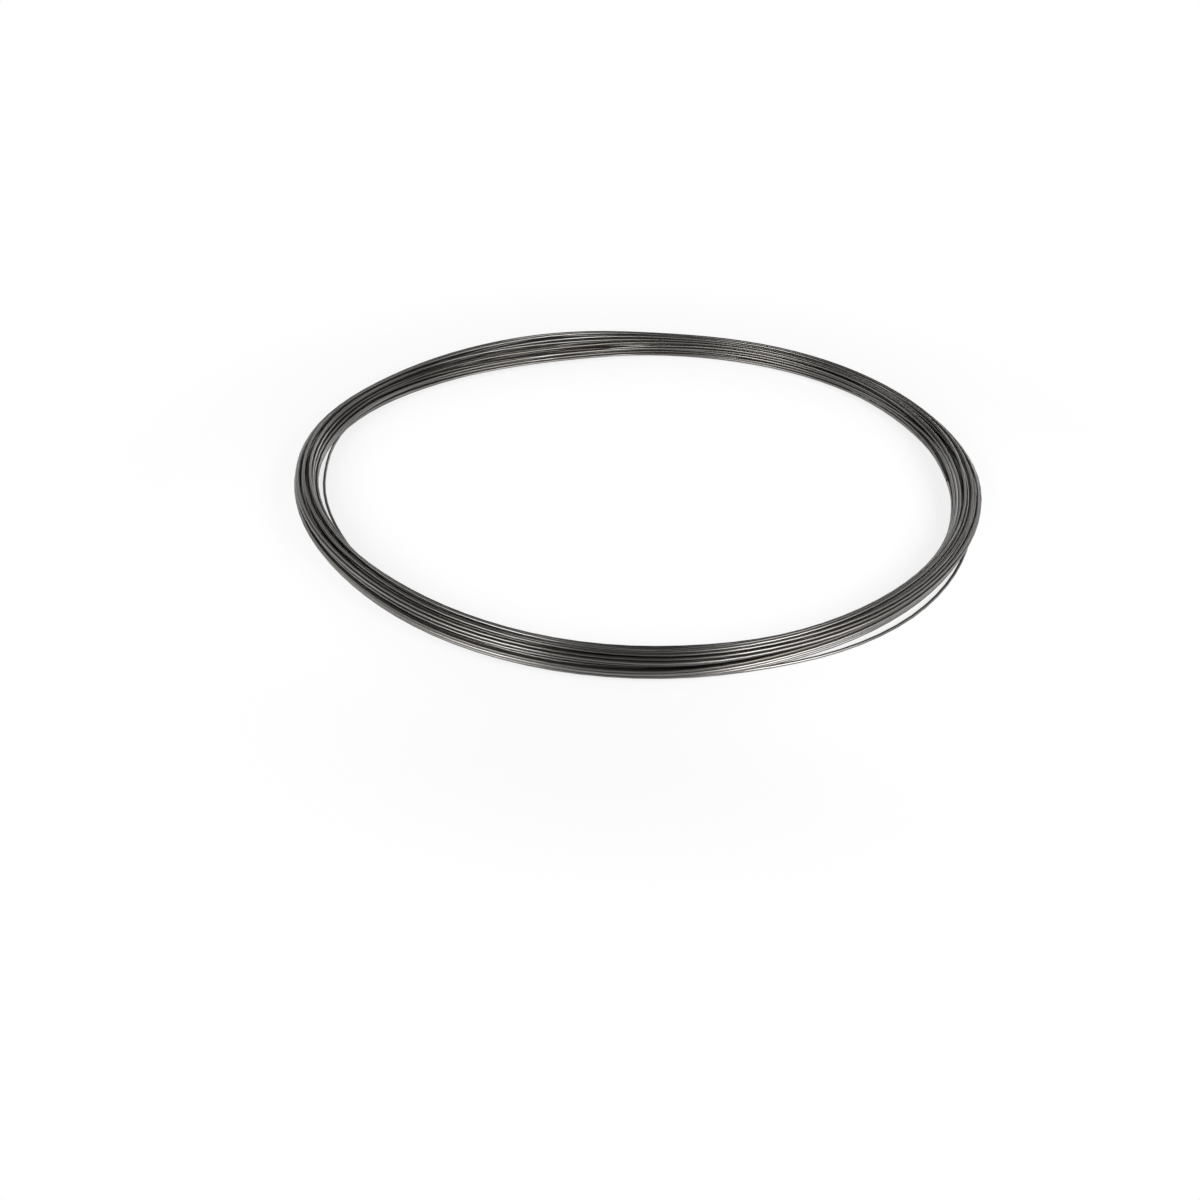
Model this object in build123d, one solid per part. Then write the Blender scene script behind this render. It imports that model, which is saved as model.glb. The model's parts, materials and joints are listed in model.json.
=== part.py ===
from build123d import *
import math
import os

# Coil of tungsten wire, wound in nested layers round a drum, taken off it and lying flat.
# The bundle of turns is one turned solid: the backs of the turns show on its ends and its outside,
# and the innermost turns make the wall of its bore.
# Millimetres. The origin is on the coil's axis at the floor, and +Z is up along that axis.

# Driving dimensions
wire_diameter = 1.6
bore_diameter = 346.0
turn_gap = 0.9

# Turns side by side in each layer, from the bore outwards.
# Each layer has one turn more or less than the last and lies in its hollows, so that neighbouring turns
# stand at the corners of triangles with equal sides.
turns_per_layer = (3, 4, 5, 6, 5, 6, 5, 4)
nesting_angle = 60.0

# The round back of a turn has few sides: a flat crest, which touches the wire's own circle and spans
# this angle of it, and a flank on each side, down to the groove before the next turn.
crest_angle = 55.0

# Sizes that follow from them
wire_radius = wire_diameter / 2
bore_radius = bore_diameter / 2
turn_pitch = wire_diameter + turn_gap
layer_pitch = turn_pitch * math.sin(math.radians(nesting_angle))
coil_height = (max(turns_per_layer) - 1) * turn_pitch + wire_diameter
crest_reach = wire_radius / math.cos(math.radians(crest_angle / 2))


def outline_turns():
    """Centres of the turns that show: along the top from the bore, down the outside, back underneath."""
    top = []
    for layer, turns in enumerate(turns_per_layer):
        radius = bore_radius + wire_radius + layer * layer_pitch
        height = coil_height / 2 + (turns - 1) / 2 * turn_pitch
        top.append(Vector(radius, height))
    outside = []
    for turn in range(1, turns_per_layer[-1] - 1):
        outside.append(top[-1] - Vector(0, turn * turn_pitch))
    underneath = [Vector(centre.X, coil_height - centre.Y) for centre in reversed(top)]
    return top + outside + underneath


def crest_corners(before, centre, after):
    """The two ends of a turn's crest, which faces away from its neighbours on the outline."""
    along = (centre - before).normalized() + (after - centre).normalized()
    middle = Vector(-along.Y, along.X).normalized() * crest_reach
    return [centre + middle.rotate(Axis.Z, angle) for angle in (crest_angle / 2, -crest_angle / 2)]


def bundle_outline():
    """Corners of the bundle's section, from the upper end of the bore wall round to its lower end."""
    turns = outline_turns()
    wall_top = Vector(bore_radius, turns[0].Y)
    wall_bottom = Vector(bore_radius, turns[-1].Y)
    chain = [wall_top, *turns, wall_bottom]
    corners = [wall_top]
    for before, centre, after in zip(chain, turns, chain[2:]):
        corners += crest_corners(before, centre, after)
        if after is wall_bottom:
            corners.append(wall_bottom)
        else:
            groove = (centre + after) / 2
            corners.append(groove)
    return corners


def wire_coil():
    """The bundle of turns, turned about the coil's axis."""
    with BuildPart() as coil:
        with BuildSketch(Plane.XZ):
            with BuildLine():
                Polyline(*bundle_outline(), close=True)
            make_face()
        revolve(axis=Axis.Z)
    return coil.part


os.makedirs("parts", exist_ok=True)
coil = wire_coil()
export_step(coil, "parts/wire_coil.step")

turn_count = sum(turns_per_layer)
mean_turn = math.pi * (bore_diameter + wire_diameter + (len(turns_per_layer) - 1) * layer_pitch)
bore_length = (turns_per_layer[0] - 1) * turn_pitch
print("size", coil.bounding_box().size, "volume", round(coil.volume))
print("bore wall", round(bore_length, 3), "high, middle at", round(coil_height / 2, 3))
print(turn_count, "turns,", round(turn_count * mean_turn), "mm of wire")
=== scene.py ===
# %% [markdown]
# # A coil of tungsten wire
#
# The object is one length of bare drawn tungsten wire. It was wound round a drum in layers, slid off,
# and laid flat with nothing to tie it, so its turns have sprung a little apart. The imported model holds
# it as one turned solid. Here that solid is only the frame: it gives the bore, the outside and the
# height, and the wire that is laid below takes its place.

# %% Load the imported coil
import json
import math

import bpy
import numpy as np
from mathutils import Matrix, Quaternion, Vector


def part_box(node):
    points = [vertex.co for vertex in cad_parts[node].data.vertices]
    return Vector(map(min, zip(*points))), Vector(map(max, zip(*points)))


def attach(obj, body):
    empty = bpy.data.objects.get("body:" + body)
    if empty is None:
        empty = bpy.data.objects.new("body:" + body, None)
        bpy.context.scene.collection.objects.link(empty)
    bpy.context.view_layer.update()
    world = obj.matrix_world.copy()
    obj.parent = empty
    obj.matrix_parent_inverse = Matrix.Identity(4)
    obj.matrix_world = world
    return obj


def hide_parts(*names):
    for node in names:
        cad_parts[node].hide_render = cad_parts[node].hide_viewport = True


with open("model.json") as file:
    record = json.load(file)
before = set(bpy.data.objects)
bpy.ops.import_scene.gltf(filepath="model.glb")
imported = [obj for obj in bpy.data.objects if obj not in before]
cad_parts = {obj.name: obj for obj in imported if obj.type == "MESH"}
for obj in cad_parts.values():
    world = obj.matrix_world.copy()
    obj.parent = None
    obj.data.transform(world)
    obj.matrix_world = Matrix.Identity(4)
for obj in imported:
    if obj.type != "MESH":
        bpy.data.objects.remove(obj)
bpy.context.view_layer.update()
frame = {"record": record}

MM = 0.001
bore = frame["record"]["mounts"][0]["dims"]
bore_radius = bore["r_mm"] * MM
low_corner, high_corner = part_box("wire_coil")
outer_radius = high_corner[0]
coil_height = high_corner[2]
print("bore radius", bore_radius, "outer radius", round(outer_radius, 4), "height", round(coil_height, 4))

# %% [markdown]
# ## The camera
#
# A camera can be set by eye, by dragging it until the picture looks right. A ring gives a better way:
# how much its far side shrinks tells how near the camera stood, and how flat its outline is tells how
# high. Those two, with the place of the coil's middle in the picture, fix the camera, and a small roll
# lowers the coil's right side.

# %% The camera
PHOTO_SIDE = 1200
FOCAL_LENGTH_PIXELS = 1315
COIL_MIDDLE_PIXEL = (638.9, 469.0)
CAMERA_DISTANCE = 744 * MM
CAMERA_ELEVATION = math.radians(28.0)
CAMERA_ROLL = math.radians(2.1)
SENSOR_WIDTH = 36.0


def place_camera():
    """Puts the camera at the photo's distance and angle, with the coil's middle on its own pixel."""
    coil_middle = Vector((0, 0, coil_height / 2))
    away = Vector((0, -math.cos(CAMERA_ELEVATION), math.sin(CAMERA_ELEVATION)))
    bpy.ops.object.camera_add(location=coil_middle + away * CAMERA_DISTANCE)
    camera = bpy.context.object
    camera.name = "photo_camera"
    camera.data.sensor_width = SENSOR_WIDTH
    camera.data.lens = FOCAL_LENGTH_PIXELS / PHOTO_SIDE * SENSOR_WIDTH
    straight_ahead = Vector((0, 0, -1))
    right = (COIL_MIDDLE_PIXEL[0] - PHOTO_SIDE / 2) / FOCAL_LENGTH_PIXELS
    down = (COIL_MIDDLE_PIXEL[1] - PHOTO_SIDE / 2) / FOCAL_LENGTH_PIXELS
    facing = (-away).to_track_quat("-Z", "Y")
    roll = Quaternion(straight_ahead, -CAMERA_ROLL)
    off_middle = Vector((right, -down, -1)).rotation_difference(straight_ahead)
    camera.rotation_mode = "QUATERNION"
    camera.rotation_quaternion = facing @ roll @ off_middle
    bpy.context.scene.camera = camera
    return camera


bpy.ops.object.select_all(action="DESELECT")
camera = place_camera()
print("camera at", [round(c, 3) for c in camera.location], "lens", round(camera.data.lens, 2), "mm")

# %% [markdown]
# ## How the turns were wound
#
# On the drum the wire climbs a layer turn by turn, steps out into the hollows of that layer, and comes
# down again. So every turn has a place in the bundle's section, and the wire visits the places in
# order. A spiral with a steady pitch would be shorter to write, but its turns would lie in one flat
# sheet and not in a round bundle.

# %% Places of the turns in the bundle's section
WIRE_DIAMETER = 1.6 * MM
TURNS_PER_LAYER = (3, 4, 5, 6, 5, 6, 5, 4)

wire_radius = WIRE_DIAMETER / 2
layer_count = len(TURNS_PER_LAYER)
turn_count = sum(TURNS_PER_LAYER)
bundle_radius = (bore_radius + outer_radius) / 2
half_across = (outer_radius - bore_radius) / 2 - wire_radius
half_up = coil_height / 2 - wire_radius


def wound_places():
    """Where each turn lies, in the order of winding, as shares of the bundle's half width and height."""
    places = []
    for layer, turns in enumerate(TURNS_PER_LAYER):
        across = 2 * layer / (layer_count - 1) - 1
        climb = [(2 * turn - (turns - 1)) / (max(TURNS_PER_LAYER) - 1) for turn in range(turns)]
        goes_down = layer % 2 == 1
        for up in reversed(climb) if goes_down else climb:
            places.append((across, up))
    return np.array(places)


places = wound_places()
print(turn_count, "turns in", layer_count, "layers, on a mean radius of", round(bundle_radius, 4))

# %% [markdown]
# ## From places to one wire
#
# The wire keeps to a place for part of a turn and then eases over to the next one, as it does on the
# drum. It is followed here at even stations round the coil, first only in the bundle's section: how far
# across, how far up.

# %% The wire's way from place to place
STATIONS = 48
STEP_STARTS, STEP_ENDS = 0.15, 0.85


def ease(share):
    """0 to 1 with a soft start and a soft end."""
    share = np.clip(share, 0, 1)
    return share * share * (3 - 2 * share)


turns_along = np.arange(turn_count * STATIONS) / STATIONS
angle = 2 * math.pi * turns_along
this_turn = np.floor(turns_along).astype(int)
next_turn = np.minimum(this_turn + 1, turn_count - 1)
step = ease((turns_along - this_turn - STEP_STARTS) / (STEP_ENDS - STEP_STARTS))
section = places[this_turn] + (places[next_turn] - places[this_turn]) * step[:, None]
print(len(section), "stations along the wire,", STATIONS, "on each turn")

# %% [markdown]
# ## Springing loose
#
# Off the drum, nothing holds the turns in their places. Stiff wire doesn't tangle: each turn swings
# slowly across the bundle and crosses its neighbours at a slant too small to see. A few slow waves that
# don't fit a whole number of times into a turn give that, and because they are seeded, the coil comes
# out the same each time.

# %% A slow swing of the wire through the bundle
WANDER_WAVES = 10
WANDER_SIZE = 0.10
WAVES_PER_TURN = (0.2, 1.0)
CHANCE_SEED = 6
chance = np.random.default_rng(CHANCE_SEED)


def wander():
    """How far the wire swings from its places, across and up, as shares of the bundle's half size."""
    swing = np.zeros_like(section)
    for rate in chance.uniform(*WAVES_PER_TURN, WANDER_WAVES):
        start = chance.uniform(0, 2 * math.pi, 2)
        size = chance.normal(0, WANDER_SIZE, 2)
        swing += size * np.sin(2 * math.pi * rate * turns_along[:, None] + start)
    return swing


section = section + wander()
print("swing, in shares of the half size:", np.abs(section).max(axis=0).round(2))

# %% [markdown]
# ## Out of round
#
# A loose coil is never a true circle. It could be pulled out of round by hand with a lattice, but a few
# soft lobes are what a springy ring falls into by itself: here sets of two, three and four, laid over
# each other, each with its height in millimetres and the angle of its first crest. The bundle is never
# equally thick either, so a short list says how wide it is at some angles, and between them the value
# runs over smoothly. An open stretch spreads more than it rises. Angles are counted from the coil's
# right side, as the photo sees it, by way of the back.

# %% The coil's lobes
LOBES = ((2, 2.3, 28), (3, 3.6, 45), (4, 1.2, 74))


def out_of_round(angle):
    """How far the coil's middle line stands out from a circle, with all its lobes together."""
    stands_out = np.zeros_like(angle)
    for lobes, millimetres, first_crest in LOBES:
        stands_out += millimetres * MM * np.cos(lobes * (angle - math.radians(first_crest)))
    return stands_out


bulge = out_of_round(angle)
print("the coil's middle line stands out by", bulge.min().round(4), "to", bulge.max().round(4))

# %% Where the bundle is tight and where it is open
OPENNESS = ((5, 1.16), (45, 1.11), (80, 1.05), (112, 1.86), (160, 0.82), (190, 0.76),
            (215, 0.85), (250, 1.04), (275, 1.01), (295, 0.64), (325, 0.60))
RISE = 0.35


def round_the_coil(values_at_degrees, angle):
    """The value at each angle, eased from one named angle to the next and closed round the coil."""
    degrees, values = np.array(values_at_degrees).T
    degrees = np.concatenate((degrees - 360, degrees, degrees + 360))
    values = np.tile(values, 3)
    here = np.degrees(angle) % 360
    after = np.searchsorted(degrees, here, side="right")
    share = ease((here - degrees[after - 1]) / (degrees[after] - degrees[after - 1]))
    return values[after - 1] + (values[after] - values[after - 1]) * share


openness = round_the_coil(OPENNESS, angle)
rise = np.maximum(openness, 1) ** RISE
half_size = np.stack((half_across * openness, half_up * rise), axis=1)
section = section * half_size
print("half size of the bundle, across and up, from", half_size.min(axis=0).round(4))
print("to", half_size.max(axis=0).round(4))

# %% [markdown]
# ## Turns that stand off the bundle
#
# Here and there one turn has sprung clear of the rest over part of its way round, and white shows
# between. A loose piece of wire laid beside the bundle would look much the same, but the coil is one
# length. So the turn that already lies nearest to that side is bent out in one long bow, down to the
# floor that it rests on.

# %% Bow single turns out of the bundle
OUTWARDS, INWARDS = 1, -1
BOWS = ((OUTWARDS, 315, 34, 2.8), (INWARDS, 205, 44, 4.2))
stands_off = np.zeros(len(section))


def bow_out(side, middle, reach, clear):
    """Leads the turn nearest to that side along the bundle's edge, and bows it clear in the middle."""
    inner_turns = np.arange(1, turn_count - 1)
    at_middle = inner_turns * STATIONS + round(middle / 360 * STATIONS)
    bowed = at_middle[np.argmax(side * section[at_middle, 0] - section[at_middle, 1])]
    nearness = 1 - np.abs(np.degrees(angle - angle[bowed])) / reach
    led, bow = ease(2 * nearness), ease(nearness)
    edge = side * (half_size[:, 0] + bow * clear * MM)
    on_the_floor = -half_size[:, 1]
    section[:] += led[:, None] * (np.stack((edge, on_the_floor), axis=1) - section)
    stands_off[:] = np.maximum(stands_off, led)
    return bowed // STATIONS


for bow in BOWS:
    print("turn", bow_out(*bow), "stands off at", bow[1], "degrees")

# %% [markdown]
# ## Turns that huddle
#
# Loose turns aren't spread evenly. Two or three lie together, and beside them a gap goes deep into the
# bundle and looks black. A pattern of hollows in the section gives that: each turn rolls down into the
# hollow nearest to it. The hollows are where a few waves, crossing the section at different slants, are
# low together, and they drift slowly on the way round the coil. They draw the turns hardest at the
# right and least at the front, where the turns lie side by side in an even sheet.

# %% Hollows that draw the turns together
HOLLOWS_APART = 3.8 * MM
HOLLOW_WAVES = 5
HOLLOW_DRIFT = 1.6
HOLLOW_PULL = 0.026 * MM
HUDDLING = ((15, 1.4), (60, 2.0), (100, 1.2), (150, 1.2),
            (215, 1.7), (270, 0.25), (300, 1.4), (335, 2.4))

slants = chance.uniform(0, 2 * math.pi, HOLLOW_WAVES)
wave_directions = np.stack((np.cos(slants), np.sin(slants)))
wave_starts = chance.uniform(0, 2 * math.pi, HOLLOW_WAVES)
drift_starts = chance.uniform(0, 2 * math.pi, HOLLOW_WAVES)
wave_phases = wave_starts + HOLLOW_DRIFT * np.sin(angle[:, None] + drift_starts)
huddling = round_the_coil(HUDDLING, angle)


def roll_down(section):
    """The way down into the nearest hollow, at each station."""
    slopes = np.sin(2 * math.pi / HOLLOWS_APART * (section @ wave_directions) + wave_phases)
    return huddling[:, None] * (slopes @ wave_directions.T)


print(HOLLOW_WAVES, "waves make hollows about", HOLLOWS_APART, "m apart")

# %% [markdown]
# ## Turns that push each other aside
#
# Swung about like this, some turns would pass through each other. At every station the turns are small
# discs in one plane: discs that overlap push each other apart, and one that leaves the bundle is drawn
# back in. Each push is spread along the wire before it is made, because stiff wire bends in long curves
# and not in kinks. Blender's own physics could press the turns apart too, but a short loop is enough
# here, and it comes out the same each time.

# %% Push the turns apart
ROUNDS = 400
CLEAR = 1.04 * WIRE_DIAMETER
PUSH = 0.45
DRAW_IN = 0.5
HASTE = 1.6
STIFF_REACH = 8
STIFF_SPREAD = 2.6
HARDLY_APART = 1e-9

offsets = np.arange(-STIFF_REACH, STIFF_REACH + 1)
stiff_wire = np.exp(-0.5 * (offsets / STIFF_SPREAD) ** 2)
stiff_wire /= stiff_wire.sum()


def spread_along(moves):
    """The moves, each shared with the stations before and after it along the wire."""
    padded = np.pad(moves, ((STIFF_REACH, STIFF_REACH), (0, 0)), mode="edge")
    return np.stack([np.convolve(column, stiff_wire, mode="valid") for column in padded.T], axis=1)


def pushes(section):
    """The push on each station from the other turns at its angle, and the smallest distance of all."""
    discs = section.reshape(turn_count, STATIONS, 2).transpose(1, 0, 2)
    apart = discs[:, :, None] - discs[:, None, :]
    distance = np.linalg.norm(apart, axis=3)
    itself = np.arange(turn_count)
    distance[:, itself, itself] = 1
    overlap = np.clip(CLEAR - distance, 0, None) / np.maximum(distance, HARDLY_APART)
    push = (apart * overlap[..., None]).sum(axis=2)
    return push.transpose(1, 0, 2).reshape(-1, 2), distance.min()


for round_number in range(ROUNDS):
    push, nearest = pushes(section)
    outside = np.linalg.norm(section / half_size, axis=1)
    in_bundle = (stands_off == 0)[:, None]
    draw_in = section * (1 - 1 / np.maximum(outside, 1))[:, None]
    slackening = 1 - round_number / ROUNDS
    settle = (slackening * HOLLOW_PULL * roll_down(section) - DRAW_IN * draw_in) * in_bundle
    section = section + HASTE * spread_along(PUSH * push + settle)
print("nearest turns are", (nearest / WIRE_DIAMETER).round(3), "wire diameters apart")

# %% The wire's line round the coil
radius = (bundle_radius + bulge + section[:, 0]) / math.cos(math.pi / STATIONS)
height = np.maximum(half_size[:, 1] + section[:, 1], 0) + wire_radius
line = np.stack((radius * np.cos(angle), radius * np.sin(angle), height), axis=1)
wire_length = turn_count * 2 * math.pi * bundle_radius
print("turns reach from", radius.min().round(4), "to", radius.max().round(4))
print("and up to", height.max().round(4))

# %% [markdown]
# ## The wire itself
#
# A swept curve is the natural way to make wire: one line, with a round section drawn along it. The line
# is a single open NURBS spline, so every turn runs on into the next, and both ends are closed with flat
# cuts.

# %% Draw the wire
SIDES_STEP = 4
SEGMENTS_PER_STATION = 2


def draw_wire(name, line):
    """One open NURBS curve through the stations, as thick as the wire."""
    curve = bpy.data.curves.new(name, "CURVE")
    curve.dimensions = "3D"
    spline = curve.splines.new("NURBS")
    spline.points.add(len(line) - 1)
    weights = np.ones((len(line), 1))
    spline.points.foreach_set("co", np.hstack((line, weights)).ravel())
    spline.order_u = 3
    spline.use_endpoint_u = True
    spline.resolution_u = SEGMENTS_PER_STATION
    curve.bevel_depth = wire_radius
    curve.bevel_resolution = SIDES_STEP
    curve.use_fill_caps = True
    wire = bpy.data.objects.new(name, curve)
    bpy.context.collection.objects.link(wire)
    return wire


wire = draw_wire("tungsten_wire_turns", line)
shape = wire.evaluated_get(bpy.context.evaluated_depsgraph_get()).to_mesh()
shape.calc_loop_triangles()
print(len(shape.loop_triangles), "triangles, UV maps", [uv.name for uv in shape.uv_layers])

# %% [markdown]
# ## Drawn tungsten
#
# Tungsten is a hard grey metal. It is drawn hot through dies, so it keeps a thin skin that is darker
# and browner in some stretches than in others, fine lines along its whole length, and bright specks
# where turns have rubbed. A painted picture would have to be 43 metres long. The wire's own UV map does
# better: it runs once along the wire and once round it, so noise can be measured in metres on the wire
# as if it were laid straight.

# %% The wire laid straight
def calculate(tree, operation, first, second):
    """Arithmetic on sockets or plain numbers."""
    node = tree.nodes.new("ShaderNodeMath")
    node.operation = operation
    for socket, value in zip(node.inputs, (first, second)):
        if isinstance(value, bpy.types.NodeSocket):
            tree.links.new(value, socket)
        else:
            socket.default_value = value
    return node.outputs["Value"]


def wire_laid_straight(tree):
    """Places on the wire in metres: along it and on two axes of its round section, so no seam shows."""
    uv = tree.nodes.new("ShaderNodeUVMap")
    uv.uv_map = shape.uv_layers[0].name
    parts = tree.nodes.new("ShaderNodeSeparateXYZ")
    tree.links.new(uv.outputs["UV"], parts.inputs[0])
    along = calculate(tree, "MULTIPLY", parts.outputs["X"], wire_length)
    turned = calculate(tree, "MULTIPLY", parts.outputs["Y"], 2 * math.pi)
    across = calculate(tree, "MULTIPLY", calculate(tree, "COSINE", turned, 0), wire_radius)
    up = calculate(tree, "MULTIPLY", calculate(tree, "SINE", turned, 0), wire_radius)
    place = tree.nodes.new("ShaderNodeCombineXYZ")
    for socket, value in zip(place.inputs, (along, across, up)):
        tree.links.new(value, socket)
    return place.outputs["Vector"]


print("patterns are laid out over", round(wire_length, 2), "m of wire")

# %% Patterns and how they are used
def speckle(tree, place, along_per_metre, across_per_metre):
    """Noise with so many spots to the metre along the wire and across it."""
    stretch = tree.nodes.new("ShaderNodeMapping")
    stretch.inputs["Scale"].default_value = (along_per_metre, across_per_metre, across_per_metre)
    tree.links.new(place, stretch.inputs["Vector"])
    noise = tree.nodes.new("ShaderNodeTexNoise")
    noise.inputs["Scale"].default_value = 1
    tree.links.new(stretch.outputs["Vector"], noise.inputs["Vector"])
    return noise.outputs["Fac"]


def between(tree, value, low, high, to_low=0, to_high=1):
    """The stretch of a value from low to high, drawn out to a new range."""
    node = tree.nodes.new("ShaderNodeMapRange")
    for name, number in (("From Min", low), ("From Max", high), ("To Min", to_low), ("To Max", to_high)):
        node.inputs[name].default_value = number
    tree.links.new(value, node.inputs["Value"])
    return node.outputs["Result"]


def colours_along(tree, value, colours):
    """A run of colours, evenly spaced from 0 to 1."""
    node = tree.nodes.new("ShaderNodeValToRGB")
    stops = node.color_ramp.elements
    while len(stops) < len(colours):
        stops.new(1)
    for number, colour in enumerate(colours):
        stops[number].position = number / (len(colours) - 1)
        stops[number].color = colour
    tree.links.new(value, node.inputs["Fac"])
    return node.outputs["Color"]


print("helpers for the finish: speckle, between and colours along")

# %% The finish of the wire
BROWN_SKIN = (0.094, 0.086, 0.076, 1)
DULL_GREY = (0.144, 0.138, 0.131, 1)
CLEAN_GREY = (0.212, 0.207, 0.200, 1)
RUBBED_BRIGHT = (0.28, 0.275, 0.268, 1)
SKIN_SPOTS = (1.7, 0)
SKIN_RANGE = (0.35, 0.65)
RUB_SPOTS = (18, 900)
RUB_RANGE = (0.60, 0.72)
LINE_SPOTS = (7, 5200)
LINE_RANGE = (0.35, 0.65)
ROUGHNESS_RANGE = (0.24, 0.40)
LINE_DEPTH = 0.004 * MM


def drawn_tungsten():
    """Bare drawn tungsten: a skin that changes along the wire, rubbed specks, and lines from the dies."""
    material = bpy.data.materials.new("drawn_tungsten")
    material.use_nodes = True
    tree = material.node_tree
    shader = tree.nodes["Principled BSDF"]
    shader.inputs["Metallic"].default_value = 1
    place = wire_laid_straight(tree)
    skin = between(tree, speckle(tree, place, *SKIN_SPOTS), *SKIN_RANGE)
    rubs = between(tree, speckle(tree, place, *RUB_SPOTS), *RUB_RANGE)
    lines = between(tree, speckle(tree, place, *LINE_SPOTS), *LINE_RANGE)
    rubbed = tree.nodes.new("ShaderNodeMixRGB")
    rubbed.inputs["Color2"].default_value = RUBBED_BRIGHT
    tree.links.new(rubs, rubbed.inputs["Fac"])
    tree.links.new(colours_along(tree, skin, (BROWN_SKIN, DULL_GREY, CLEAN_GREY)), rubbed.inputs["Color1"])
    tree.links.new(rubbed.outputs["Color"], shader.inputs["Base Color"])
    tree.links.new(between(tree, lines, 0, 1, *ROUGHNESS_RANGE), shader.inputs["Roughness"])
    relief = tree.nodes.new("ShaderNodeBump")
    relief.inputs["Distance"].default_value = LINE_DEPTH
    tree.links.new(lines, relief.inputs["Height"])
    tree.links.new(relief.outputs["Normal"], shader.inputs["Normal"])
    return material


wire.data.materials.append(drawn_tungsten())
print("finish", wire.data.materials[0].name, "with", len(wire.data.materials[0].node_tree.nodes), "nodes")

# %% [markdown]
# ## Floor and light
#
# The coil lies on plain white. A white floor could be had by flooding it with light, but that would
# bleach the metal too. Here the floor is pale, and a part of what is seen of it glows white by itself,
# so that the shadow under the coil stays, only fainter. The part grows with the distance from the coil,
# until the floor far off is plain white.

# %% The floor
FLOOR_SIDE = 40
FLOOR_WHITE = (0.98, 0.98, 0.98, 1)
WHITE = (1, 1, 1, 1)
GLOW_NEAR, GLOW_FAR = 0.78, 1.0
NEAR, FAR = 200 * MM, 330 * MM


def white_floor_finish():
    """Matt white that partly glows to the eye and in what mirrors it, and lights nothing by that."""
    material = bpy.data.materials.new("white_floor")
    material.use_nodes = True
    nodes, links = material.node_tree.nodes, material.node_tree.links
    matt = nodes["Principled BSDF"]
    matt.inputs["Base Color"].default_value = FLOOR_WHITE
    matt.inputs["Roughness"].default_value = 1
    matt.inputs["Specular IOR Level"].default_value = 0
    glow = nodes.new("ShaderNodeEmission")
    glow.inputs["Color"].default_value = WHITE
    rays = nodes.new("ShaderNodeLightPath")
    mirrored = nodes.new("ShaderNodeMath")
    mirrored.operation = "MAXIMUM"
    links.new(rays.outputs["Is Glossy Ray"], mirrored.inputs[0])
    links.new(rays.outputs["Is Transmission Ray"], mirrored.inputs[1])
    seen = nodes.new("ShaderNodeMath")
    seen.operation = "MAXIMUM"
    links.new(rays.outputs["Is Camera Ray"], seen.inputs[0])
    links.new(mirrored.outputs[0], seen.inputs[1])
    place = nodes.new("ShaderNodeTexCoord")
    distance = nodes.new("ShaderNodeVectorMath")
    distance.operation = "LENGTH"
    links.new(place.outputs["Object"], distance.inputs[0])
    glows = nodes.new("ShaderNodeMapRange")
    glows.interpolation_type = "SMOOTHSTEP"
    limits = (("From Min", NEAR), ("From Max", FAR), ("To Min", GLOW_NEAR), ("To Max", GLOW_FAR))
    for name, number in limits:
        glows.inputs[name].default_value = number
    links.new(distance.outputs["Value"], glows.inputs["Value"])
    share = nodes.new("ShaderNodeMath")
    share.operation = "MULTIPLY"
    links.new(glows.outputs["Result"], share.inputs[1])
    links.new(seen.outputs[0], share.inputs[0])
    both = nodes.new("ShaderNodeMixShader")
    links.new(share.outputs[0], both.inputs[0])
    links.new(matt.outputs[0], both.inputs[1])
    links.new(glow.outputs[0], both.inputs[2])
    links.new(both.outputs[0], nodes["Material Output"].inputs["Surface"])
    return material


bpy.ops.object.select_all(action="DESELECT")
bpy.ops.mesh.primitive_plane_add(size=FLOOR_SIDE)
floor = bpy.context.object
floor.name = "floor"
floor.data.materials.append(white_floor_finish())
print("floor", FLOOR_SIDE, "m a side")

# %% [markdown]
# ## Light that shows round wire
#
# Wire mirrors only a narrow ring of its surroundings, so a light shows on the coil as short bright
# stretches. One big light overhead would be simpler, but it would lay the same sheen all round. Two
# soft boxes in front, to the left and to the right, each brighten one stretch of the near side and one
# of the far side. Four low lights from far off, at the sides and the back, brighten the coil's ends and
# leave dark gaps between the crests. What lies between mirrors the ceiling, so the walls are pale and
# the ceiling is dark.

# %% Two soft boxes in front
BOX_SIDE = 380 * MM
FAR_SIDE = 170 * MM
BOX_ASIDE, BOX_BEFORE, BOX_UP = 400 * MM, 360 * MM, 240 * MM


def face(light, name, target):
    """Names a light and turns it from where it stands to its target."""
    light.name = name
    light.rotation_mode = "QUATERNION"
    light.rotation_quaternion = (light.location - Vector(target)).to_track_quat("Z", "Y")


def soft_box(name, place, spread, power):
    """A square soft box that faces the coil's far side: its place, its spread in degrees and its watts."""
    bpy.ops.object.light_add(type="AREA", location=place)
    light = bpy.context.object
    light.data.size = BOX_SIDE
    light.data.spread = math.radians(spread)
    light.data.energy = power
    light.visible_camera = False
    face(light, name, (0, FAR_SIDE, 0))
    print(name, "of", power, "W,", round(Vector(place).length, 2), "m from the coil's middle")


soft_box("front_left_box", (-BOX_ASIDE, -BOX_BEFORE, BOX_UP), spread=70, power=0.8)
soft_box("front_right_box", (BOX_ASIDE, -BOX_BEFORE, BOX_UP), spread=85, power=1.25)

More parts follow.
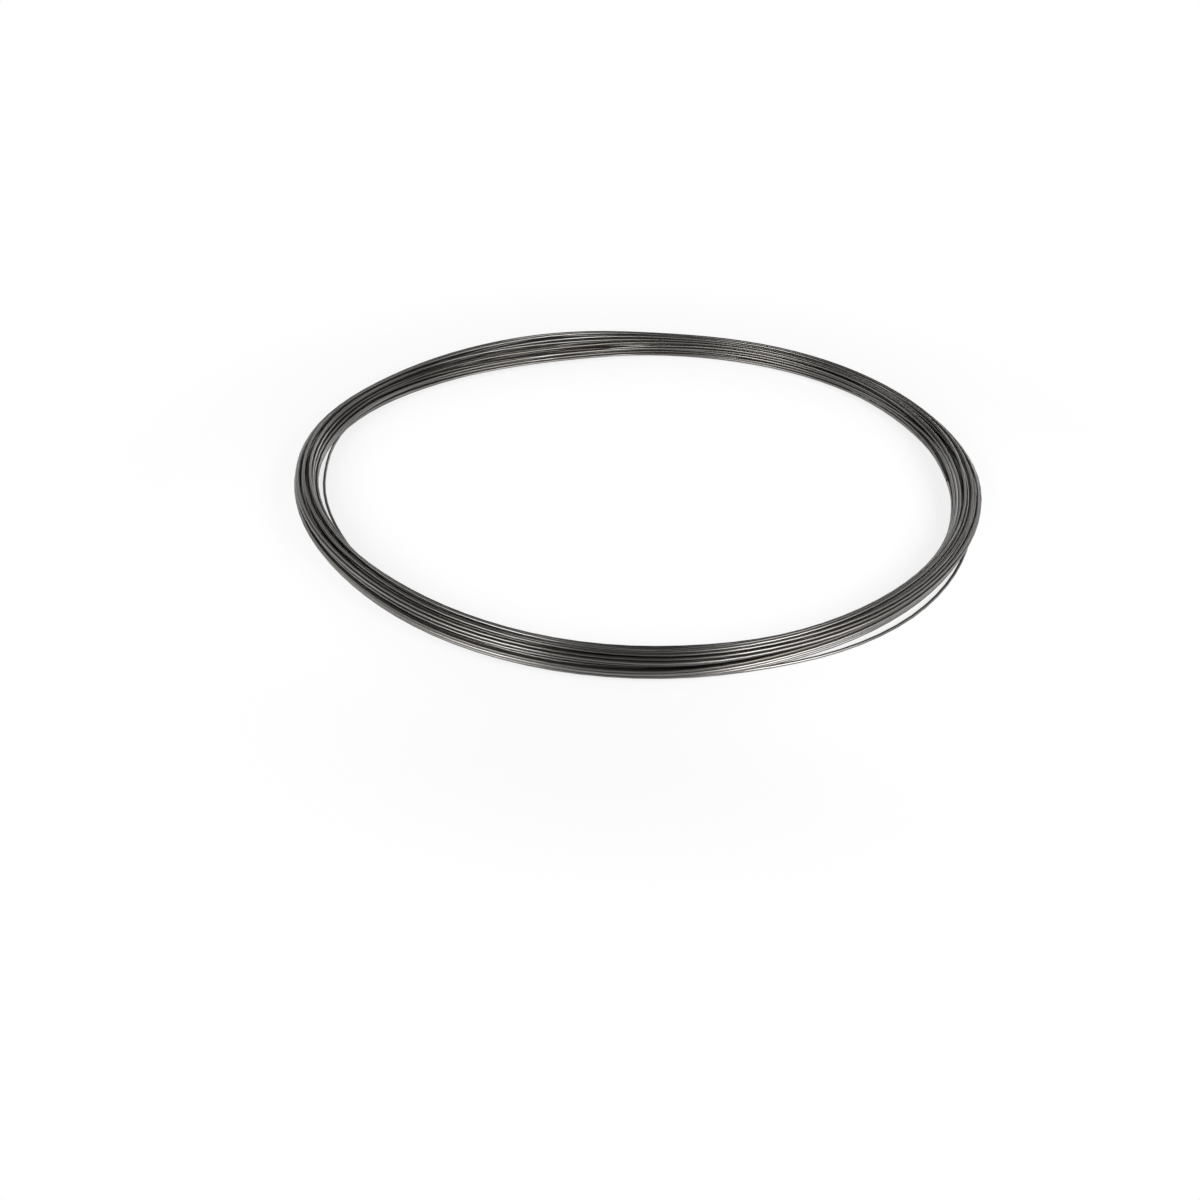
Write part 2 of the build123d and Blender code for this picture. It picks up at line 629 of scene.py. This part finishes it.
# %% Four low lights at the sides and the back
def low_light(name, turn, rise, spread, strength):
    """A far light: its turn from the right by way of the back, its rise and its spread, in degrees."""
    level = math.cos(math.radians(rise))
    right = level * math.cos(math.radians(turn))
    back = level * math.sin(math.radians(turn))
    up = math.sin(math.radians(rise))
    bpy.ops.object.light_add(type="SUN", location=(right, back, up))
    light = bpy.context.object
    light.data.angle = math.radians(spread)
    light.data.energy = strength
    face(light, name, (0, 0, 0))
    print(name, "of strength", strength)


low_light("side_left_light", turn=166, rise=24, spread=34, strength=0.45)
low_light("side_right_light", turn=14, rise=24, spread=34, strength=0.4)
low_light("back_left_light", turn=113, rise=19, spread=18, strength=0.2)
low_light("back_right_light", turn=68, rise=19, spread=18, strength=0.4)

# %% Pale walls and a dark ceiling
WALL_STRENGTH = 1.0
CEILING_STRENGTH = 0.14
WALL_TOP = 0.0
CEILING_STARTS = 0.40


def plain_studio():
    """Surroundings that are white at the height of the eye and darker above."""
    world = bpy.data.worlds.new("plain_studio")
    world.use_nodes = True
    nodes, links = world.node_tree.nodes, world.node_tree.links
    direction = nodes.new("ShaderNodeTexCoord")
    parts = nodes.new("ShaderNodeSeparateXYZ")
    links.new(direction.outputs["Generated"], parts.inputs[0])
    level = nodes.new("ShaderNodeMapRange")
    level.interpolation_type = "SMOOTHSTEP"
    level.inputs["From Min"].default_value = WALL_TOP
    level.inputs["From Max"].default_value = CEILING_STARTS
    level.inputs["To Min"].default_value = WALL_STRENGTH
    level.inputs["To Max"].default_value = CEILING_STRENGTH
    links.new(parts.outputs["Z"], level.inputs["Value"])
    links.new(level.outputs["Result"], nodes["Background"].inputs["Strength"])
    nodes["Background"].inputs["Color"].default_value = WHITE
    return world


bpy.context.scene.world = plain_studio()
bpy.context.scene.view_settings.view_transform = "Standard"
print("walls", WALL_STRENGTH, "ceiling", CEILING_STRENGTH)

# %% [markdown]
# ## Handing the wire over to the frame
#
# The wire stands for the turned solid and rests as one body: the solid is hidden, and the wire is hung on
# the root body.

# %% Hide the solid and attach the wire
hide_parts("wire_coil")
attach(wire, "root")
